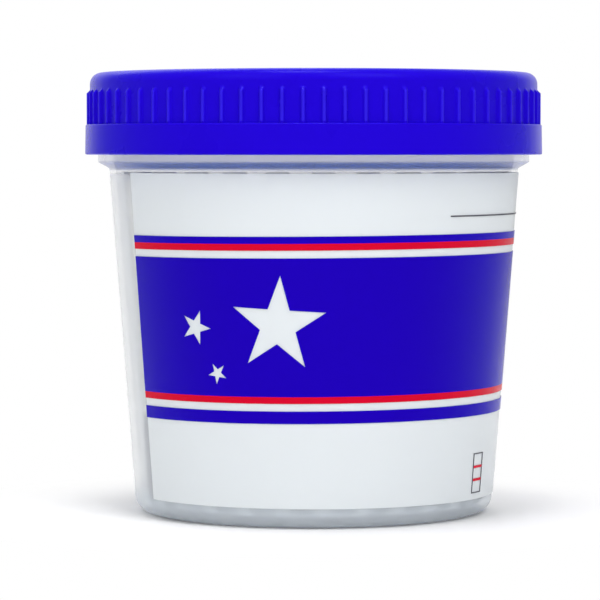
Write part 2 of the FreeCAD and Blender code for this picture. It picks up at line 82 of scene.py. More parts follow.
# The liner's rounding, as a share of its thickness
LINER_EDGE = 0.3
LINER_TINT = (0.08, 0.1, 0.55)
CARRIER_TINT = (0.8, 0.82, 0.85)
CARD_TINT = (0.84, 0.86, 0.88)
# The fibrous layers of a strip: colour, shadow, fineness of the fibres and relief in metres
FIBRES = {
    "sample_pad": ((0.17, 0.2, 0.28), (0.09, 0.11, 0.17), 1800.0, 0.00006),
    "membrane": ((0.85, 0.85, 0.84), (0.76, 0.76, 0.75), 5200.0, 0.00001),
    "absorbent_pad": ((0.78, 0.78, 0.76), (0.58, 0.58, 0.56), 2200.0, 0.00006),
}
# The lamps: place, size and power in watts
LAMPS = {
    "key_light": ((0.35, -0.6, 0.75), 0.5, 4.2),
    "fill_light": ((-0.45, -0.6, 0.6), 0.5, 2.2),
    "top_light": ((-0.05, -0.1, 0.9), 0.25, 2.6),
    "back_light": ((-0.2, 0.6, 0.7), 0.6, 1.4),
}
LAMP_TARGET = Vector((0, 0, 0.045))


# Settings


def length(name, description, default):
    """A size in metres."""
    return FloatProperty(
        name=name, description=description, default=default, unit="LENGTH", precision=5
    )


def number(name, description, default):
    """A plain number that is never negative."""
    return FloatProperty(name=name, description=description, default=default, min=0)


def angle(name, description, degrees):
    """An angle, given in degrees."""
    return FloatProperty(
        name=name, description=description, default=math.radians(degrees), subtype="ANGLE"
    )


def share(name, description, default):
    """A share from 0 to 1."""
    return FloatProperty(
        name=name, description=description, default=default, min=0, max=1, subtype="FACTOR"
    )


def colour(name, description, default):
    """A colour in linear light."""
    return FloatVectorProperty(
        name=name, description=description, default=default, min=0, max=1, size=3, subtype="COLOR"
    )


class CupSettings(PropertyGroup):
    """Sizes and finish of the frosted cup."""

    base_radius: length("Base radius", "Outside of the wall, carried down to the floor", 0.03425)
    draft: angle("Draft", "Lean of the wall", 4.44)
    wall: length("Wall", "Thickness of the wall, measured level", 0.0012)
    shoulder: length("Shoulder height", "Where the wall meets the collar", 0.066)
    corner: length("Foot rounding", "Outer rounding at the foot of the wall", 0.003)
    inner_corner: length("Inner rounding", "Rounding between floor and wall inside", 0.001)
    foot_height: length("Foot height", "How far the foot ring stands below the floor", 0.0008)
    foot_width: length("Foot width", "Flat width of the foot ring", 0.0024)
    floor: length("Floor thickness", "Thickness of the cup's floor", 0.0012)
    collar_slope: length("Collar slope", "Height of the collar's sloping underside", 0.0012)
    collar_height: length("Collar height", "Height of the collar's upright face", 0.0026)
    collar_proud: length("Collar depth", "How far the collar stands out from the neck", 0.0015)
    neck_wall: length("Neck wall", "Thickness of the neck", 0.0014)
    edge: length("Edge rounding", "Rounding of the moulded edges", 0.0003)
    steps: IntProperty(name="Steps", description="Faces round the cup", default=192, min=24)
    tint: colour("Plastic", "Colour of the frosted plastic", (0.94, 0.97, 0.99))
    foot_tint: colour("Foot", "Colour of the thick foot", (0.87, 0.94, 1.0))
    # Painted blue light from the lid on the collar
    collar_painted_blue_light: colour("Collar", "Colour of the collar, which picks up the lid's blue", (0.85, 0.9, 1.0))
    # Painted shade under the collar, tinted by the blue light from the lid
    seam_painted_blue_shade: colour("Seam", "Colour under the collar, where the lid shines through", (0.03, 0.1, 0.46))
    frosting: share("Frosting", "Roughness of the frosted wall", 0.42)
    polish: share("Polish", "Roughness of the smooth collar and neck", 0.2)
    cover: share("Milkiness", "How much each skin of the frosted wall hides", 0.33)
    foot_cover: share("Foot milkiness", "How much each skin of the foot hides", 0.4)
    head_cover: share("Head milkiness", "How much each skin hides just above the label", 0.15)
    seam_cover: share("Seam milkiness", "How much each skin hides under the collar", 0.5)
    neck_cover: share("Neck milkiness", "How much each skin of the collar and neck hides", 0.36)


class ThreadSettings(PropertyGroup):
    """The screw thread, the same on the neck and in the lid."""

    lead: length("Lead", "Rise in one turn", 0.00508)
    turns: number("Turns", "Turns of the ridge", 1.25)
    proud: length("Height", "How far the ridge stands out", 0.0015)
    root: length("Root width", "Width of the ridge at its root", 0.0022)
    crest: length("Crest width", "Width of the ridge at its crest", 0.0013)
    sunk: length("Root depth", "How deep the ridge is rooted in the wall", 0.0004)
    edge: length("Edge rounding", "Rounding of the ridge's crest", 0.00025)
    taper: angle("Run-out", "Angle over which each end fades into the wall", 9)
    neck_start: length("Start on the neck", "Height of the ridge's middle where it starts", 0.07324)
    lid_start: length("Start in the lid", "Height of the ridge's middle where it starts", 0.0713)


class LidSettings(PropertyGroup):
    """Sizes and finish of the ribbed lid."""

    wall: length("Wall", "Skirt wall above the band", 0.0012)
    plate: length("Top plate", "Thickness of the top", 0.0015)
    corner: length("Top rounding", "Rounding of the top edge", 0.0022)
    band_height: length("Band height", "Height of the plain band at the foot", 0.0058)
    band_proud: length("Band depth", "How far the band's top stands out from the skirt", 0.00085)
    band_flare: length("Band flare", "How much wider the band is at its foot", 0.0001)
    edge: length("Edge rounding", "Rounding of the moulded edges", 0.00035)
    ribs: IntProperty(name="Ribs", description="Number of grip ribs", default=72, min=12)
    rib_root: length("Rib root", "Width of a rib where it leaves the skirt", 0.0013)
    rib_crest: length("Rib crest", "Width of a rib at its crest", 0.0006)
    rib_proud: length("Rib depth", "How far a rib stands out from the skirt", 0.00065)
    rib_margin: length("Rib margin", "From the top of the ribs to the top of the lid", 0.0033)
    crown: share("Rib crown", "How much a rib's crest falls away to its edges", 0.2)
    tint: colour("Plastic", "Colour of the lid", (0.014, 0.0013, 0.59))
    gloss: share("Roughness", "Roughness of the lid's surface", 0.28)
    shine: share("Shine", "Strength of the lid's reflections", 0.1)
    sheen: colour("Sheen", "Colour of the reflections that face the viewer", (0.25, 0.2, 1.0))
    # Painted highlight: the paler colour given to the ribs' crests
    crest_highlight_tint: colour("Rib crests", "Colour of the ribs' rubbed crests", (0.028, 0.013, 0.68))


class LabelSettings(PropertyGroup):
    """Place, film and inks of the label."""

    start: angle("Left edge", "Where the label starts", -60.3)
    sweep: angle("Sweep", "Angle that the label covers", 186.3)
    lean: angle("Lean", "How far the print rises to the right on the film", 0.4)
    glue: length("Glue", "Adhesive between the wall and the film", 0.00005)
    film: length("Film", "Thickness of the film", 0.00015)
    ink: length("Ink", "Thickness of the print", 0.00008)
    steps: IntProperty(name="Steps", description="Faces along the label", default=190, min=24)
    paper: colour("Film", "Colour of the bare film", (0.73, 0.77, 0.79))
    blue: colour("Blue", "Blue ink", (0.013, 0.0012, 0.43))
    red: colour("Red", "Red ink", (0.65, 0.004, 0.028))
    black: colour("Black", "Black ink", (0.1, 0.1, 0.12))
    shine: share("Shine", "Strength of the label's reflections", 0.08)
    gloss: share("Roughness", "Roughness of the film and the inks", 0.25)
    gap: length("Print gap", "Between the film and the layer of ink", 0.00005)


class PrintSettings(PropertyGroup):
    """Heights of the stripes and places of the figures, above the foot of the cup."""

    broad_foot: length("Broad stripe", "Foot of the broad blue stripe", 0.0195)
    broad_width: length("Broad width", "Width of the broad blue stripe", 0.0023)
    lower_red: length("Lower red stripe", "Foot of the lower red stripe", 0.0232)
    red_width: length("Red width", "Width of each red stripe", 0.00125)
    field_foot: length("Field foot", "Lower edge of the blue field", 0.02445)
    field_head: length("Field head", "Upper edge of the blue field", 0.04985)
    upper_red: length("Upper red stripe", "Foot of the upper red stripe", 0.05125)
    thin_foot: length("Thin stripe", "Foot of the thin blue stripe", 0.0525)
    thin_width: length("Thin width", "Width of the thin blue stripe", 0.0013)
    star_waist: share("Star waist", "Inner radius of a star as a share of its outer radius", 0.382)
    line_start: angle("Line start", "Left end of the write-in line", 40.4)
    line_sweep: angle("Line sweep", "Angle that the write-in line covers", 54.6)
    line_height: length("Line height", "Height of the write-in line", 0.057)
    line_width: length("Line width", "Thickness of the write-in line", 0.00025)
    key_start: angle("Key start", "Left edge of the key to the results", 58.2)
    key_sweep: angle("Key sweep", "Angle that the key covers", 6.1)
    key_foot: length("Key foot", "Lower edge of the key", 0.0047)
    key_height: length("Key height", "Height of the key's frame", 0.0076)
    key_border: length("Key border", "Line width of the key's frame", 0.0002)
    key_control: length("Control line", "Foot of the key's upper red line", 0.00945)
    key_test: length("Test line", "Foot of the key's lower red line", 0.007)
    key_line: length("Line width", "Width of each red line of the key", 0.0005)


class StageSettings(PropertyGroup):
    """Camera, floor and light."""

    distance: length("Distance", "From the camera to the cup's axis", 0.6253)
    height: length("Height", "Height of the camera above the floor", 0.0695)
    tilt: angle("Tilt", "How far the camera looks down", 2.654)
    yaw: angle("Yaw", "How far the camera looks to the left", 0.24)
    lens: number("Lens", "Focal length in millimetres", 194.2)
    back: number("Back light", "Strength of the white room behind", 1.0)
    front: number("Front light", "Strength of the dim room in front", 0.38)
    lamps: number("Lamps", "Strength of the lamps", 1.0)


# Star figures of the label: outer radius in metres, angle, height in metres, lean to the right
STARS = [
    (0.0091, math.radians(-10), 0.03765, math.radians(3.5)),
    (0.0034, math.radians(-35.5), 0.03705, math.radians(21)),
    (0.00205, math.radians(-28.7), 0.02865, math.radians(-28.5)),
]
STAR_POINTS = 5


# Places round the cup


def around(radius, turn, height):
    """A point at a radius, an angle from the front and a height."""
    return Vector((radius * math.sin(turn), -radius * math.cos(turn), height))


def turn_of(point):
    """The angle of a point round the cup, from the front."""
    return math.atan2(point.x, -point.y)


def wall_radius(cup, height):
    """Outside radius of the cup's wall at a height."""
    return cup.base_radius + height * math.tan(cup.draft)


# Outlines and meshes


def rounded(corners):
    """An open outline of (radius, height, rounding) corners, with arcs at the rounded ones."""
    points = []
    places = [Vector((radius, height)) for radius, height, _ in corners]
    for index, (place, corner) in enumerate(zip(places, corners)):
        rounding = corner[2]
        if rounding == 0 or index in (0, len(corners) - 1):
            points.append(place)
            continue
        back = (places[index - 1] - place).normalized()
        ahead = (places[index + 1] - place).normalized()
        opening = back.angle(ahead)
        reach = rounding / math.tan(opening / 2)
        centre = place + (back + ahead).normalized() * rounding / math.sin(opening / 2)
        first = place + back * reach
        last = place + ahead * reach
        swing = math.pi - opening
        count = max(2, math.ceil(swing / ARC_STEP))
        sense = 1 if (first - centre).cross(last - centre) > 0 else -1
        points.append(first + back * SUPPORT)
        for step in range(count + 1):
            spoke = (first - centre).copy()
            spoke.rotate(Matrix.Rotation(sense * swing * step / count, 2))
            points.append(centre + spoke)
        points.append(last + ahead * SUPPORT)
    return [(point.x, point.y) for point in points]


def outline_edges(bm, points, turn=0.0, closed=False):
    """The outline as vertices and edges in the upright plane at an angle."""
    verts = [bm.verts.new(around(radius, turn, height)) for radius, height in points]
    edges = [bm.edges.new(pair) for pair in zip(verts, verts[1:])]
    if closed:
        edges.append(bm.edges.new((verts[-1], verts[0])))
    return verts + edges


def spin_round(bm, points, steps):
    """A closed body turned from an outline that starts and ends on the axis."""
    geometry = outline_edges(bm, points)
    bmesh.ops.spin(
        bm, geom=geometry, cent=(0, 0, 0), axis=(0, 0, 1), dvec=(0, 0, 0), angle=math.tau,
        steps=steps, use_merge=True, use_duplicate=False,
    )
    bmesh.ops.remove_doubles(bm, verts=bm.verts, dist=MERGE)


def sweep_round(bm, geometry, sweep, steps, rise=0.0):
    """Sweeps edges round the axis, and gives back the last ones."""
    swept = bmesh.ops.spin(
        bm, geom=geometry, cent=(0, 0, 0), axis=(0, 0, 1), dvec=(0, 0, rise / steps), angle=sweep,
        steps=steps, use_merge=False, use_duplicate=False,
    )
    return swept["geom_last"]


def spin_part(bm, points, start, sweep, steps, rise=0.0):
    """A closed outline swept part of the way round, with its ends filled in."""
    sweep_round(bm, outline_edges(bm, points, start, closed=True), sweep, steps, rise)
    open_edges = [edge for edge in bm.edges if edge.is_boundary]
    bmesh.ops.holes_fill(bm, edges=open_edges, sides=0)


def finish_mesh(bm, name, smooth_below=SHARP):
    """Merges, turns outwards and shades a bmesh, and makes an object of it."""
    bmesh.ops.remove_doubles(bm, verts=bm.verts, dist=MERGE)
    bmesh.ops.recalc_face_normals(bm, faces=bm.faces)
    for face in bm.faces:
        face.smooth = True
    for edge in bm.edges:
        edge.smooth = len(edge.link_faces) == 2 and edge.calc_face_angle(0.0) < smooth_below
    mesh = bpy.data.meshes.new(name)
    bm.to_mesh(mesh)
    bm.free()
    piece = bpy.data.objects.new(name, mesh)
    bpy.context.scene.collection.objects.link(piece)
    return piece


def seat(piece, body, slot, material, *nodes):
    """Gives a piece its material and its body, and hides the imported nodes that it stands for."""
    piece.data.materials.clear()
    piece.data.materials.append(material)
    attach(piece, body)
    if nodes:
        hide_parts(*nodes)
    return piece


def unite(piece, tool, smooth_below=SHARP):
    """Joins a second closed body into a piece, so that one skin is left."""
    joining = piece.modifiers.new("join", "BOOLEAN")
    joining.operation = "UNION"
    joining.solver = "MANIFOLD"
    joining.object = tool
    bpy.context.view_layer.update()
    evaluated = piece.evaluated_get(bpy.context.evaluated_depsgraph_get())
    joined = bpy.data.meshes.new_from_object(evaluated)
    piece.modifiers.remove(joining)
    name = piece.name
    bpy.data.objects.remove(tool)
    bpy.data.objects.remove(piece)
    bm = bmesh.new()
    bm.from_mesh(joined)
    bpy.data.meshes.remove(joined)
    return finish_mesh(bm, name, smooth_below)


def thread_ridge(bm, thread, wall, side, start_height):
    """A right-hand ridge on a round wall: side 1 stands outwards and -1 inwards."""
    foot = wall - side * thread.sunk
    crest = wall + side * thread.proud
    corners = [
        (foot, start_height - thread.root / 2, 0),
        (crest, start_height - thread.crest / 2, thread.edge),
        (crest, start_height + thread.crest / 2, thread.edge),
        (foot, start_height + thread.root / 2, 0),
    ]
    start = math.pi / 2
    sweep = math.tau * thread.turns
    steps = round(THREAD_STEPS * thread.turns)
    before = set(bm.verts)
    spin_part(bm, rounded(corners), start, sweep, steps, thread.lead * thread.turns)
    for vert in set(bm.verts) - before:
        radius = vert.co.xy.length
        if (radius - wall) * side <= 0:
            continue
        run = (vert.co.z - start_height) / thread.lead * math.tau
        passed = (turn_of(vert.co) - start) % math.tau
        passed += math.tau * round((run - passed) / math.tau)
        fade = min(1.0, max(0.0, min(passed, sweep - passed) / thread.taper))
        ease = math.sin(fade * math.pi / 2)
        new_radius = wall + (radius - wall) * ease
        vert.co.x *= new_radius / radius
        vert.co.y *= new_radius / radius


# Materials


def new_material(name):
    """An empty node material with its surface shader and output."""
    material = bpy.data.materials.new(name)
    material.use_nodes = True
    nodes = material.node_tree.nodes
    nodes.clear()
    output = nodes.new("ShaderNodeOutputMaterial")
    shader = nodes.new("ShaderNodeBsdfPrincipled")
    material.node_tree.links.new(shader.outputs["BSDF"], output.inputs["Surface"])
    return material, material.node_tree, shader


def feed(tree, value, entry):
    """Gives a node's input a value, or links it to a socket."""
    if isinstance(value, bpy.types.NodeSocket):
        tree.links.new(value, entry)
    else:
        entry.default_value = value


def calculate(tree, operation, *values, kind="ShaderNodeMath"):
    """A sum on sockets or numbers."""
    node = tree.nodes.new(kind)
    node.operation = operation
    for place, value in enumerate(values):
        feed(tree, value, node.inputs[place])
    return node.outputs[1 if operation == "LENGTH" else 0]


def noise(tree, position, scale, detail):
    """Noise with a scale and a level of detail."""
    node = tree.nodes.new("ShaderNodeTexNoise")
    for name, value in (("Vector", position), ("Scale", scale), ("Detail", detail)):
        feed(tree, value, node.inputs[name])
    return node


def mix_colours(tree, share_socket, first, second):
    """Goes from the first colour to the second with a share."""
    node = tree.nodes.new("ShaderNodeMix")
    node.data_type = "RGBA"
    for name, value in (("Factor", share_socket), ("A", first), ("B", second)):
        feed(tree, value, node.inputs[name])
    return node.outputs["Result"]


def smooth_range(tree, value, start, end, low=0.0, high=1.0):
    """Goes smoothly from low to high while a value goes from start to end."""
    node = tree.nodes.new("ShaderNodeMapRange")
    node.interpolation_type = "SMOOTHSTEP"
    node.inputs["From Min"].default_value = start
    node.inputs["From Max"].default_value = end
    node.inputs["To Min"].default_value = low
    node.inputs["To Max"].default_value = high
    tree.links.new(value, node.inputs["Value"])
    return node.outputs[0]


def split_axes(tree, vector):
    """The X, Y and Z of a vector socket."""
    axes = tree.nodes.new("ShaderNodeSeparateXYZ")
    tree.links.new(vector, axes.inputs[0])
    return axes.outputs


def mix_shaders(tree, share_socket, first, second, output):
    """Goes from the first shader to the second with a share, into an output node."""
    mixed = tree.nodes.new("ShaderNodeMixShader")
    tree.links.new(share_socket, mixed.inputs["Fac"])
    tree.links.new(first, mixed.inputs[1])
    tree.links.new(second, mixed.inputs[2])
    tree.links.new(mixed.outputs[0], output.inputs["Surface"])


def place_group(tree, group, **values):
    """A node that holds one of the shared groups, with its own values, on object coordinates."""
    node = tree.nodes.new("ShaderNodeGroup")
    node.node_tree = group
    where = tree.nodes.new("ShaderNodeTexCoord")
    tree.links.new(where.outputs["Object"], node.inputs["Position"])
    for name, value in values.items():
        node.inputs[name.replace("_", " ")].default_value = value
    return node


def new_group(name, inputs, outputs):
    """A shader group whose inputs and outputs are (name, kind, default)."""
    group = bpy.data.node_groups.new(name, "ShaderNodeTree")
    for label, kind, default in inputs:
        socket = group.interface.new_socket(name=label, in_out="INPUT", socket_type=kind)
        if default is not None:
            socket.default_value = default
    for label, kind in outputs:
        group.interface.new_socket(name=label, in_out="OUTPUT", socket_type=kind)
    entry = group.nodes.new("NodeGroupInput")
    leave = group.nodes.new("NodeGroupOutput")
    return group, entry, leave


def moulded_group():
    """Fine grain and slow clouding of a moulded plastic surface."""
    found = bpy.data.node_groups.get("moulded_surface")
    if found:
        return found
    group, entry, leave = new_group(
        "moulded_surface",
        [
            ("Position", "NodeSocketVector", None),
            ("Colour", "NodeSocketColor", (0.5, 0.5, 0.5, 1)),
            ("Roughness", "NodeSocketFloat", 0.4),
            ("Cloud size", "NodeSocketFloat", 60.0),
            ("Cloud depth", "NodeSocketFloat", 0.06),
            ("Grain size", "NodeSocketFloat", 3000.0),
        ],
        [
            ("Colour", "NodeSocketColor"),
            ("Roughness", "NodeSocketFloat"),
            ("Height", "NodeSocketFloat"),
        ],
    )
    nodes, links = group.nodes, group.links
    clouds = noise(group, entry.outputs["Position"], entry.outputs["Cloud size"], 4)
    centred = calculate(group, "SUBTRACT", clouds.outputs["Fac"], 0.5)
    depth = calculate(group, "MULTIPLY", centred, entry.outputs["Cloud depth"])
    gain = calculate(group, "ADD", depth, 1)
    shade = nodes.new("ShaderNodeVectorMath")
    shade.operation = "SCALE"
    links.new(entry.outputs["Colour"], shade.inputs[0])
    links.new(gain, shade.inputs["Scale"])
    links.new(shade.outputs[0], leave.inputs["Colour"])
    rough = calculate(group, "ADD", entry.outputs["Roughness"], depth)
    rough.node.use_clamp = True
    links.new(rough, leave.inputs["Roughness"])
    grain = noise(group, entry.outputs["Position"], entry.outputs["Grain size"], 2)
    links.new(grain.outputs["Fac"], leave.inputs["Height"])
    return group


def fibre_group():
    """Tangled fibres that run mostly up the strip, for pads and membranes."""
    found = bpy.data.node_groups.get("fibres")
    if found:
        return found
    group, entry, leave = new_group(
        "fibres",
        [
            ("Position", "NodeSocketVector", None),
            ("Colour", "NodeSocketColor", (0.8, 0.8, 0.8, 1)),
            ("Shadow", "NodeSocketColor", (0.5, 0.5, 0.5, 1)),
            ("Fibre size", "NodeSocketFloat", 1800.0),
            ("Length", "NodeSocketFloat", 0.2),
        ],
        [("Colour", "NodeSocketColor"), ("Height", "NodeSocketFloat")],
    )
    nodes, links = group.nodes, group.links
    flow = nodes.new("ShaderNodeCombineXYZ")
    flow.inputs["X"].default_value = 1
    flow.inputs["Y"].default_value = 1
    links.new(entry.outputs["Length"], flow.inputs["Z"])
    stretched = calculate(
        group, "MULTIPLY", entry.outputs["Position"], flow.outputs[0], kind="ShaderNodeVectorMath"
    )
    fibres = noise(group, stretched, entry.outputs["Fibre size"], 5)
    fibres.inputs["Distortion"].default_value = 0.6
    shadow, colour_socket = entry.outputs["Shadow"], entry.outputs["Colour"]
    mixed = mix_colours(group, fibres.outputs["Fac"], shadow, colour_socket)
    links.new(mixed, leave.inputs["Colour"])
    links.new(fibres.outputs["Fac"], leave.inputs["Height"])
    return group


def add_bump(tree, shader, height, strength, distance):
    """Relief from a height, in metres, on a shader."""
    bump = tree.nodes.new("ShaderNodeBump")
    bump.inputs["Strength"].default_value = strength
    bump.inputs["Distance"].default_value = distance
    tree.links.new(height, bump.inputs["Height"])
    tree.links.new(bump.outputs["Normal"], shader.inputs["Normal"])


def moulded_material(name, tint, roughness, shine=0.5, sheen=(1, 1, 1), relief=0.000004, **values):
    """Moulded plastic, with the strength and the colour of its reflections."""
    material, tree, shader = new_material(name)
    shader.inputs["Specular IOR Level"].default_value = shine
    shader.inputs["Specular Tint"].default_value = (*sheen, 1)
    surface = place_group(tree, moulded_group(), Colour=(*tint, 1), Roughness=roughness, **values)
    tree.links.new(surface.outputs["Colour"], shader.inputs["Base Color"])
    tree.links.new(surface.outputs["Roughness"], shader.inputs["Roughness"])
    add_bump(tree, shader, surface.outputs["Height"], 0.5, relief)
    return material


def only_node(material, kind):
    """The one node of its kind in a material."""
    return next(node for node in material.node_tree.nodes if node.type == kind)


def frosted_material(cup, rim):
    """Milky plastic, part see-through, tinted by height, with painted shade tinted by the lid's blue
    light under the collar and painted blue light from the lid on the collar, and smoother from the collar
    up.
    """
    material = moulded_material(
        "frosted_plastic", cup.tint, cup.frosting, Cloud_size=45.0, Cloud_depth=0.05
    )
    tree = material.node_tree
    shader = only_node(material, "BSDF_PRINCIPLED")
    surface = only_node(material, "GROUP")
    where = only_node(material, "TEX_COORD")
    height = split_axes(tree, where.outputs["Object"])["Z"]
    seam = cup.shoulder - cup.collar_slope
    roughness = smooth_range(tree, height, seam, cup.shoulder, cup.frosting, cup.polish)
    tree.links.new(roughness, surface.inputs["Roughness"])
    ramp = tree.nodes.new("ShaderNodeValToRGB")
    tree.links.new(calculate(tree, "DIVIDE", height, rim), ramp.inputs["Fac"])
    slope = cup.collar_slope
    # Each stop's height, colour and cover, with the last ones in shares of the collar's slope
    stops = [
        (0.0, cup.foot_tint, cup.foot_cover),
        (cup.corner, cup.foot_tint, cup.foot_cover),
        (cup.corner * 2, cup.tint, cup.cover),
        (cup.shoulder - slope, cup.tint, cup.cover),
        (cup.shoulder - slope * 0.7, cup.tint, cup.head_cover),
        (cup.shoulder - slope * 0.25, cup.tint, cup.head_cover),
        # Painted shade under the collar, tinted by the blue light from the lid
        (cup.shoulder - slope * 0.1, cup.seam_painted_blue_shade, cup.seam_cover),
        (cup.shoulder + slope * 0.9, cup.seam_painted_blue_shade, cup.seam_cover),
        # Painted blue light from the lid on the collar
        (cup.shoulder + slope * 1.2, cup.collar_painted_blue_light, cup.neck_cover),
    ]
    marks = ramp.color_ramp.elements
    for index, (place, tint, cover) in enumerate(stops):
        mark = marks.new(place / rim) if index else marks[0]
        mark.position = place / rim
        mark.color = (*tint, cover)
    marks.remove(marks[-1])
    tree.links.new(ramp.outputs["Color"], surface.inputs["Colour"])
    tree.links.new(ramp.outputs["Alpha"], shader.inputs["Alpha"])
    return material


def fibre_material(name, tint, shadow, size, relief):
    """Pad or membrane made of fibres."""
    material, tree, shader = new_material(name)
    fibres = place_group(
        tree, fibre_group(), Colour=(*tint, 1), Shadow=(*shadow, 1), Fibre_size=size
    )
    tree.links.new(fibres.outputs["Colour"], shader.inputs["Base Color"])
    shader.inputs["Roughness"].default_value = 0.9
    add_bump(tree, shader, fibres.outputs["Height"], 0.8, relief)
    return material


# Operators


class TESTCUP_OT_cup(Operator):
    """Build the frosted cup with its collar and threaded neck."""

    bl_idname = "testcup.cup"
    bl_label = "Cup"

    def execute(self, context):
        cup = context.scene.testcup_cup
        thread = context.scene.testcup_thread
        low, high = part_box("cup")
        collar = high.x
        neck = collar - cup.collar_proud
        neck_inside = neck - cup.neck_wall
        rim = high.z
        collar_foot = cup.shoulder + cup.collar_slope
        collar_top = collar_foot + cup.collar_height
        floor_top = cup.foot_height + cup.floor
        foot_inside = cup.base_radius - cup.corner - cup.foot_width
        corners = [
            (0, cup.foot_height, 0),
            (foot_inside, cup.foot_height, cup.edge),
            (foot_inside, low.z, cup.edge),
            (cup.base_radius, low.z, cup.corner),
            (wall_radius(cup, cup.shoulder), cup.shoulder, cup.edge),
            (collar, collar_foot, cup.edge),
            (collar, collar_top, cup.edge),
            (neck, collar_top, cup.edge),
            (neck, rim, cup.edge),
            (neck_inside, rim, cup.edge),
            (neck_inside, collar_foot, cup.edge),
            (wall_radius(cup, cup.shoulder) - cup.wall, cup.shoulder, cup.edge),
            (wall_radius(cup, floor_top) - cup.wall, floor_top, cup.inner_corner),
            (0, floor_top, 0),
        ]
        bm = bmesh.new()
        spin_round(bm, rounded(corners), cup.steps)
        shell = finish_mesh(bm, "cup_shell")
        bm = bmesh.new()
        thread_ridge(bm, thread, neck, 1, thread.neck_start)
        ridge = finish_mesh(bm, "neck_thread")
        shell = unite(shell, ridge)
        seat(shell, BODY_CUP, "cup_plastic", frosted_material(cup, rim), "cup")
        return {"FINISHED"}


class TESTCUP_OT_lid(Operator):
    """Build the screw lid with its ribs, plain band and inner thread."""

    bl_idname = "testcup.lid"
    bl_label = "Screw lid"

    def execute(self, context):
        lid = context.scene.testcup_lid
        thread = context.scene.testcup_thread
        low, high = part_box("screw_lid")
        band_foot = max(high.x, high.y)
        band_top = band_foot - lid.band_flare
        skirt = band_top - lid.band_proud
        bore = skirt - lid.wall
        ledge = low.z + lid.band_height
        head = high.z - lid.rib_margin
        plate_foot = high.z - lid.plate
        cap_start = skirt - lid.corner
        rib_start = head - lid.rib_proud
        corners = [
            (0, high.z, 0),
            (cap_start * 0.6, high.z, 0),
            (skirt, high.z, lid.corner),
            (skirt, head + lid.edge, 0),
            (skirt, head, 0),
            (skirt, head - lid.rib_proud * 0.2, 0),
            (skirt, head - lid.rib_proud * 0.8, 0),
            (skirt, rib_start, 0),
            (skirt, rib_start - lid.edge, 0),
            (skirt, (rib_start + ledge) / 2, 0),
            (skirt, ledge + lid.edge / 2, 0),
            (skirt, ledge, 0),
            (band_top, ledge, lid.edge),
            (band_foot, low.z, lid.edge),
            (bore, low.z, lid.edge),
            (bore, plate_foot, lid.edge),
            (0, plate_foot, 0),
        ]
        pitch = math.tau / lid.ribs
        half_root = lid.rib_root / 2 / skirt
        half_crest = lid.rib_crest / 2 / skirt
        slope = half_root - half_crest
        right = [half_crest * part for part in CREST_STEPS]
        right += [half_crest + slope * part for part in SIDE_STEPS]
        columns = [-turn for turn in reversed(right)] + [0] + right
        columns = [-pitch / 2] + columns + [pitch / 2]
        bm = bmesh.new()
        steps = len(columns) - 1
        sweep_round(bm, outline_edges(bm, rounded(corners), -pitch / 2), pitch, steps)
        for vert in bm.verts:
            radius = vert.co.xy.length
            if radius < MERGE:
                continue
            column = round((turn_of(vert.co) + pitch / 2) / pitch * steps)
            turn = columns[column]
            across = min(1.0, max(0.0, abs(turn) - half_crest) / slope)
            up = (vert.co.z - rib_start) / (head - rib_start)
            on_skirt = abs(radius - skirt) < MERGE and ledge - MERGE < vert.co.z < head + MERGE
            if on_skirt:
                crown = 1 - min(1.0, abs(turn) / half_crest) ** 2 * lid.crown
                top = 1 - min(1.0, max(0.0, up))
                radius += lid.rib_proud * crown * (1 - across) ** RIB_HOLLOW * top
            vert.co = around(radius, turn + pitch / 2, vert.co.z)
        everything = bm.verts[:] + bm.edges[:] + bm.faces[:]
        bmesh.ops.spin(
            bm, geom=everything, cent=(0, 0, 0), axis=(0, 0, 1), dvec=(0, 0, 0),
            angle=math.tau, steps=lid.ribs, use_merge=True, use_duplicate=True,
        )
        bmesh.ops.remove_doubles(bm, verts=bm.verts, dist=RIB_MERGE)
        shell = finish_mesh(bm, "lid_shell", LID_SHARP)
        bm = bmesh.new()
        thread_ridge(bm, thread, bore, -1, thread.lid_start)
        ridge = finish_mesh(bm, "lid_thread")
        shell = unite(shell, ridge, LID_SHARP)
        material = moulded_material(
            "lid_plastic", lid.tint, lid.gloss, lid.shine, lid.sheen,
            relief=0.0000015, Cloud_size=70.0, Cloud_depth=0.08,
        )
        # Painted highlight on the crests of the ribs
        self.paint_crest_highlight(material, lid, skirt, ledge + lid.edge)
        seat(shell, BODY_LID, "lid_plastic", material, "screw_lid")
        return {"FINISHED"}

    def paint_crest_highlight(self, material, lid, skirt, foot):
        """Paints a highlight on the crests of the ribs by paling their colour."""
        tree = material.node_tree
        where = only_node(material, "TEX_COORD").outputs["Object"]
        level = calculate(tree, "MULTIPLY", where, (1, 1, 0), kind="ShaderNodeVectorMath")
        radius = calculate(tree, "LENGTH", level, kind="ShaderNodeVectorMath")
        highlight_start = skirt + lid.rib_proud * CREST_HIGHLIGHT_START
        proud = smooth_range(tree, radius, highlight_start, skirt + lid.rib_proud)
        above = calculate(tree, "GREATER_THAN", split_axes(tree, where)["Z"], foot)
        highlit = calculate(tree, "MULTIPLY", proud, above)
        # The painted highlight pales the lid's colour on the crests
        mixed = mix_colours(tree, highlit, (*lid.tint, 1), (*lid.crest_highlight_tint, 1))
        surface = only_node(material, "GROUP")
        tree.links.new(mixed, surface.inputs["Colour"])


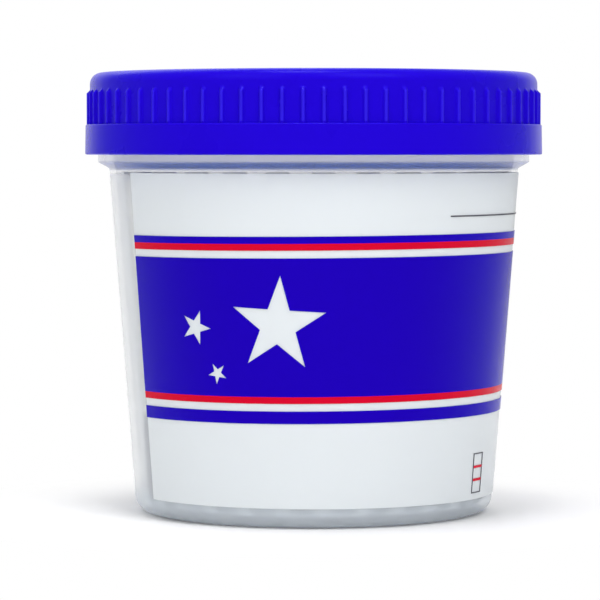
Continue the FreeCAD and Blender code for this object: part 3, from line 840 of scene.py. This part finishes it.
class TESTCUP_OT_liner(Operator):
    """Build the foam disc that seals the lid on the rim."""

    bl_idname = "testcup.liner"
    bl_label = "Liner"

    def execute(self, context):
        low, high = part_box("lid_liner")
        edge = (high.z - low.z) * LINER_EDGE
        bm = bmesh.new()
        corners = [(0, low.z, 0), (high.x, low.z, edge), (high.x, high.z, edge), (0, high.z, 0)]
        spin_round(bm, rounded(corners), LINER_STEPS)
        disc = finish_mesh(bm, "foam_liner")
        material = moulded_material(
            "liner_foam", LINER_TINT, 0.75, relief=0.00003, Grain_size=4500.0
        )
        seat(disc, BODY_LINER, "liner_foam", material, "lid_liner")
        return {"FINISHED"}


class TESTCUP_OT_strips(Operator):
    """Finish the carrier and the layers of each test strip."""

    bl_idname = "testcup.strips"
    bl_label = "Carrier and strips"

    def execute(self, context):
        finishes = {
            "strip_carrier": moulded_material("carrier_plastic", CARRIER_TINT, 0.45),
            "backing": moulded_material(
                "strip_card", CARD_TINT, 0.3, Cloud_size=200.0, Cloud_depth=0.03
            ),
        }
        for layer, values in FIBRES.items():
            finishes[layer] = fibre_material(layer, *values)
        for name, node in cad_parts.items():
            for ending, material in finishes.items():
                if name.endswith(ending):
                    node.data.materials.clear()
                    node.data.materials.append(material)
        return {"FINISHED"}


def lean_print(bm, cup, label):
    """Tilts what is printed on the film by its lean, along the wall's own slope."""
    for vert in bm.verts:
        rise = vert.co.x * math.tan(label.lean)
        radius = vert.co.xy.length
        grown = (radius + rise * math.tan(cup.draft)) / radius
        vert.co = Vector((vert.co.x * grown, vert.co.y * grown, vert.co.z + rise))


def wall_patch(bm, cup, start, sweep, foot, head, inside, thickness, steps):
    """A closed layer of even thickness on the cup's wall."""
    inner_foot = wall_radius(cup, foot) + inside
    inner_head = wall_radius(cup, head) + inside
    points = [
        (inner_foot, foot),
        (inner_foot + thickness, foot),
        (inner_head + thickness, head),
        (inner_head, head),
    ]
    spin_part(bm, points, start, sweep, steps)


def star_corners(radius, waist, lean):
    """Corners of a five-pointed star in its own plane, as across and up."""
    corners = []
    for step in range(2 * STAR_POINTS):
        reach = radius if step % 2 == 0 else radius * waist
        bearing = lean + math.pi * step / STAR_POINTS
        corners.append((reach * math.sin(bearing), reach * math.cos(bearing)))
    return corners


def inside_star(across, up, corners):
    """Whether a point of the star's plane lies inside its outline."""
    inside = False
    for index, (x, y) in enumerate(corners):
        last_x, last_y = corners[index - 1]
        if (y > up) != (last_y > up) and across < (last_x - x) * (up - y) / (last_y - y) + x:
            inside = not inside
    return inside


def cut_star(bm, star, waist):
    """Leaves a star-shaped window in the field."""
    radius, turn, height, lean = star
    corners = star_corners(radius, waist, lean)
    right = around(1, turn + math.pi / 2, 0)
    outwards = around(1, turn, 0)

    def to_plane(point):
        return point.dot(right), point.z - height

    def near(face):
        across, up = to_plane(face.calc_center_median())
        reach = radius * NEAR_STAR
        return face.calc_center_median().dot(outwards) > 0 and abs(across) < reach and abs(up) < reach

    for index in range(len(corners)):
        start, end = corners[index - 1], corners[index]
        edge = right * (end[0] - start[0]) + Vector((0, 0, end[1] - start[1]))
        middle = right * end[0] + Vector((0, 0, height + end[1]))
        faces = [face for face in bm.faces if near(face)]
        geometry = set(faces)
        for face in faces:
            geometry.update(face.edges)
            geometry.update(face.verts)
        bmesh.ops.bisect_plane(
            bm, geom=list(geometry), dist=MERGE, plane_co=middle, plane_no=edge.cross(outwards)
        )
    gone = []
    for face in bm.faces:
        if near(face) and inside_star(*to_plane(face.calc_center_median()), corners):
            gone.append(face)
    bmesh.ops.delete(bm, geom=gone, context="FACES")


def starred_field(bm, cup, label, figures, inside):
    """The blue field with its stars left open, as a layer of ink."""
    field = bmesh.new()
    rows = 4
    points = []
    for row in range(rows + 1):
        height = figures.field_foot + (figures.field_head - figures.field_foot) * row / rows
        points.append((wall_radius(cup, height) + inside, height))
    sweep_round(field, outline_edges(field, points, label.start), label.sweep, label.steps)
    for star in STARS:
        cut_star(field, star, figures.star_waist)
    add_ink(bm, field, label)


def add_ink(bm, sheet, label):
    """Gives an open sheet the thickness of the ink, and adds it to the print."""
    raised = bmesh.ops.extrude_face_region(sheet, geom=sheet.faces[:], use_keep_orig=True)
    for vert in raised["geom"]:
        if isinstance(vert, bmesh.types.BMVert):
            flat = vert.co.xy.normalized() * label.ink
            vert.co.x += flat.x
            vert.co.y += flat.y
    mesh = bpy.data.meshes.new("sheet")
    sheet.to_mesh(mesh)
    sheet.free()
    bm.from_mesh(mesh)
    bpy.data.meshes.remove(mesh)


def key_frame(bm, cup, label, figures, inside):
    """The key's frame, open in the middle, as a layer of ink."""
    border = figures.key_border
    head = figures.key_foot + figures.key_height
    heights = (figures.key_foot, figures.key_foot + border, head - border, head)
    points = [(wall_radius(cup, height) + inside, height) for height in heights]
    side = border / wall_radius(cup, figures.key_foot)
    middle = figures.key_sweep - 2 * side
    sheet = bmesh.new()
    geometry = outline_edges(sheet, points, figures.key_start)
    for sweep, steps in ((side, 1), (middle, KEY_STEPS), (side, 1)):
        geometry = sweep_round(sheet, geometry, sweep, steps)
    gone = []
    for face in sheet.faces:
        centre = face.calc_center_median()
        across = turn_of(centre) - figures.key_start
        if side < across < side + middle and heights[1] < centre.z < heights[2]:
            gone.append(face)
    bmesh.ops.delete(sheet, geom=gone, context="FACES")
    add_ink(bm, sheet, label)


class TESTCUP_OT_label(Operator):
    """Wrap the white film round the cup."""

    bl_idname = "testcup.label"
    bl_label = "Label film"

    def execute(self, context):
        cup = context.scene.testcup_cup
        label = context.scene.testcup_label
        low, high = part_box("label_film")
        bm = bmesh.new()
        wall_patch(
            bm, cup, label.start, label.sweep, low.z, high.z, label.glue, label.film, label.steps
        )
        film = finish_mesh(bm, "label")
        material = moulded_material(
            "label_film", label.paper, label.gloss, label.shine,
            relief=0.000003, Cloud_size=35.0, Cloud_depth=0.03,
        )
        seat(film, BODY_CUP, "label_film", material, "label_film")
        return {"FINISHED"}


class TESTCUP_OT_print(Operator):
    """Print the blue, red and black fields on the film."""

    bl_idname = "testcup.print"
    bl_label = "Label print"

    def execute(self, context):
        cup = context.scene.testcup_cup
        label = context.scene.testcup_label
        figures = context.scene.testcup_print
        face = label.glue + label.film + label.gap

        def field(bm, start, sweep, foot, width, steps=label.steps):
            wall_patch(bm, cup, start, sweep, foot, foot + width, face, label.ink, steps)

        bm = bmesh.new()
        field(bm, label.start, label.sweep, figures.broad_foot, figures.broad_width)
        field(bm, label.start, label.sweep, figures.thin_foot, figures.thin_width)
        starred_field(bm, cup, label, figures, face)
        lean_print(bm, cup, label)
        blue = finish_mesh(bm, "blue_print")

        border_turn = figures.key_border / wall_radius(cup, figures.key_foot)
        inner_start = figures.key_start + border_turn
        inner_sweep = figures.key_sweep - 2 * border_turn
        bm = bmesh.new()
        field(bm, label.start, label.sweep, figures.lower_red, figures.red_width)
        field(bm, label.start, label.sweep, figures.upper_red, figures.red_width)
        field(bm, inner_start, inner_sweep, figures.key_control, figures.key_line, KEY_STEPS)
        field(bm, inner_start, inner_sweep, figures.key_test, figures.key_line, KEY_STEPS)
        lean_print(bm, cup, label)
        red = finish_mesh(bm, "red_print")

        bm = bmesh.new()
        field(
            bm, figures.line_start, figures.line_sweep,
            figures.line_height, figures.line_width, LINE_STEPS,
        )
        key_frame(bm, cup, label, figures, face)
        lean_print(bm, cup, label)
        black = finish_mesh(bm, "black_print")

        for piece, slot, tint, node in (
            (blue, "blue_print", label.blue, "label_blue_print"),
            (red, "red_print", label.red, "label_red_print"),
            (black, "black_print", label.black, "label_black_print"),
        ):
            brightest = max(tint)
            sheen = [part / brightest for part in tint]
            material = moulded_material(
                slot, tint, label.gloss, label.shine, sheen,
                relief=0.000003, Cloud_size=35.0, Cloud_depth=0.05,
            )
            seat(piece, BODY_CUP, slot, material, node)
        return {"FINISHED"}


def add_lamp(name, place, size, watts):
    """A square area lamp that faces the cup."""
    lamp = bpy.data.lights.new(name, "AREA")
    lamp.shape = "SQUARE"
    lamp.size = size
    lamp.energy = watts
    lamp_object = bpy.data.objects.new(name, lamp)
    lamp_object.location = place
    lamp_object.rotation_euler = (LAMP_TARGET - Vector(place)).to_track_quat("-Z", "Y").to_euler()
    bpy.context.scene.collection.objects.link(lamp_object)


class TESTCUP_OT_stage(Operator):
    """Set the camera, the floor and the light."""

    bl_idname = "testcup.stage"
    bl_label = "Stage"

    def execute(self, context):
        stage = context.scene.testcup_stage
        self.set_camera(context, stage)
        self.set_floor()
        self.set_light(context, stage)
        context.scene.view_settings.view_transform = "Standard"
        return {"FINISHED"}

    def set_camera(self, context, stage):
        """The camera of the photograph, in front of the cup."""
        lens = bpy.data.cameras.new("camera")
        lens.sensor_width = 36
        lens.lens = stage.lens
        lens.clip_start = 0.01
        lens.clip_end = 20
        camera = bpy.data.objects.new("camera", lens)
        camera.location = (0, -stage.distance, stage.height)
        camera.rotation_euler = (math.pi / 2 - stage.tilt, 0, stage.yaw)
        context.scene.collection.objects.link(camera)
        context.scene.camera = camera

    def set_floor(self):
        """A wide pale floor, which keeps the shadow of the cup."""
        bm = bmesh.new()
        bmesh.ops.create_circle(bm, cap_ends=True, segments=96, radius=4)
        bmesh.ops.translate(bm, verts=bm.verts, vec=(0, 0, -0.0002))
        floor = finish_mesh(bm, "floor")
        material = moulded_material("floor_paper", (0.93, 0.93, 0.93), 0.9)
        tree = material.node_tree
        shader = only_node(material, "BSDF_PRINCIPLED")
        where = only_node(material, "TEX_COORD").outputs["Object"]
        glow = tree.nodes.new("ShaderNodeEmission")
        path = tree.nodes.new("ShaderNodeLightPath")
        away = calculate(tree, "LENGTH", where, kind="ShaderNodeVectorMath")
        far = smooth_range(tree, away, FLOOR_NEAR, FLOOR_FAR)
        shown = calculate(tree, "MULTIPLY", far, path.outputs["Is Camera Ray"])
        output = only_node(material, "OUTPUT_MATERIAL")
        mix_shaders(tree, shown, shader.outputs["BSDF"], glow.outputs[0], output)
        floor.data.materials.append(material)

    def set_light(self, context, stage):
        """A room that is white behind the cup and dim in front, and four soft lamps."""
        world = bpy.data.worlds.new("studio")
        world.use_nodes = True
        context.scene.world = world
        tree = world.node_tree
        tree.nodes.clear()
        output = tree.nodes.new("ShaderNodeOutputWorld")
        where = tree.nodes.new("ShaderNodeTexCoord")
        backwards = split_axes(tree, where.outputs["Generated"])["Y"]
        behind = smooth_range(tree, backwards, BEHIND_NEAR, BEHIND_FAR)
        rise = calculate(tree, "MULTIPLY", behind, stage.back - stage.front)
        soft = tree.nodes.new("ShaderNodeBackground")
        tree.links.new(calculate(tree, "ADD", rise, stage.front), soft.inputs["Strength"])
        white = tree.nodes.new("ShaderNodeBackground")
        for background in (soft, white):
            background.inputs["Color"].default_value = (1, 1, 1, 1)
        path = tree.nodes.new("ShaderNodeLightPath")
        seen = calculate(tree, "MULTIPLY", path.outputs["Is Glossy Ray"], behind)
        for kind in ("Is Camera Ray", "Is Transmission Ray"):
            seen = calculate(tree, "MAXIMUM", seen, path.outputs[kind])
        mix_shaders(tree, seen, soft.outputs[0], white.outputs[0], output)
        for name, (place, size, watts) in LAMPS.items():
            add_lamp(name, place, size, watts * stage.lamps)


# Panel and registration


class TESTCUP_PT_panel(Panel):
    """Lists the pieces of the cup in the sidebar."""

    bl_idname = "TESTCUP_PT_panel"
    bl_label = "Test cup"
    bl_space_type = "VIEW_3D"
    bl_region_type = "UI"
    bl_category = "Test cup"

    def draw(self, context):
        column = self.layout.column()
        for operator in OPERATORS:
            column.operator(operator.bl_idname)
        for name, group in SETTINGS.items():
            box = self.layout.box()
            box.label(text=name)
            values = getattr(context.scene, name)
            for field in group.__annotations__:
                box.prop(values, field)


SETTINGS = {
    "testcup_cup": CupSettings,
    "testcup_thread": ThreadSettings,
    "testcup_lid": LidSettings,
    "testcup_label": LabelSettings,
    "testcup_print": PrintSettings,
    "testcup_stage": StageSettings,
}
OPERATORS = [
    TESTCUP_OT_stage,
    TESTCUP_OT_cup,
    TESTCUP_OT_lid,
    TESTCUP_OT_liner,
    TESTCUP_OT_strips,
    TESTCUP_OT_label,
    TESTCUP_OT_print,
]


def register():
    for name, group in SETTINGS.items():
        bpy.utils.register_class(group)
        setattr(bpy.types.Scene, name, PointerProperty(type=group))
    for operator in OPERATORS:
        bpy.utils.register_class(operator)
    bpy.utils.register_class(TESTCUP_PT_panel)


def unregister():
    bpy.utils.unregister_class(TESTCUP_PT_panel)
    for operator in reversed(OPERATORS):
        bpy.utils.unregister_class(operator)
    for name, group in SETTINGS.items():
        delattr(bpy.types.Scene, name)
        bpy.utils.unregister_class(group)


def main():
    """Builds the whole cup and its stage."""
    register()
    bpy.ops.testcup.stage()
    bpy.ops.testcup.cup()
    bpy.ops.testcup.lid()
    bpy.ops.testcup.liner()
    bpy.ops.testcup.strips()
    bpy.ops.testcup.label()
    bpy.ops.testcup.print()


if __name__ == "__main__":
    main()
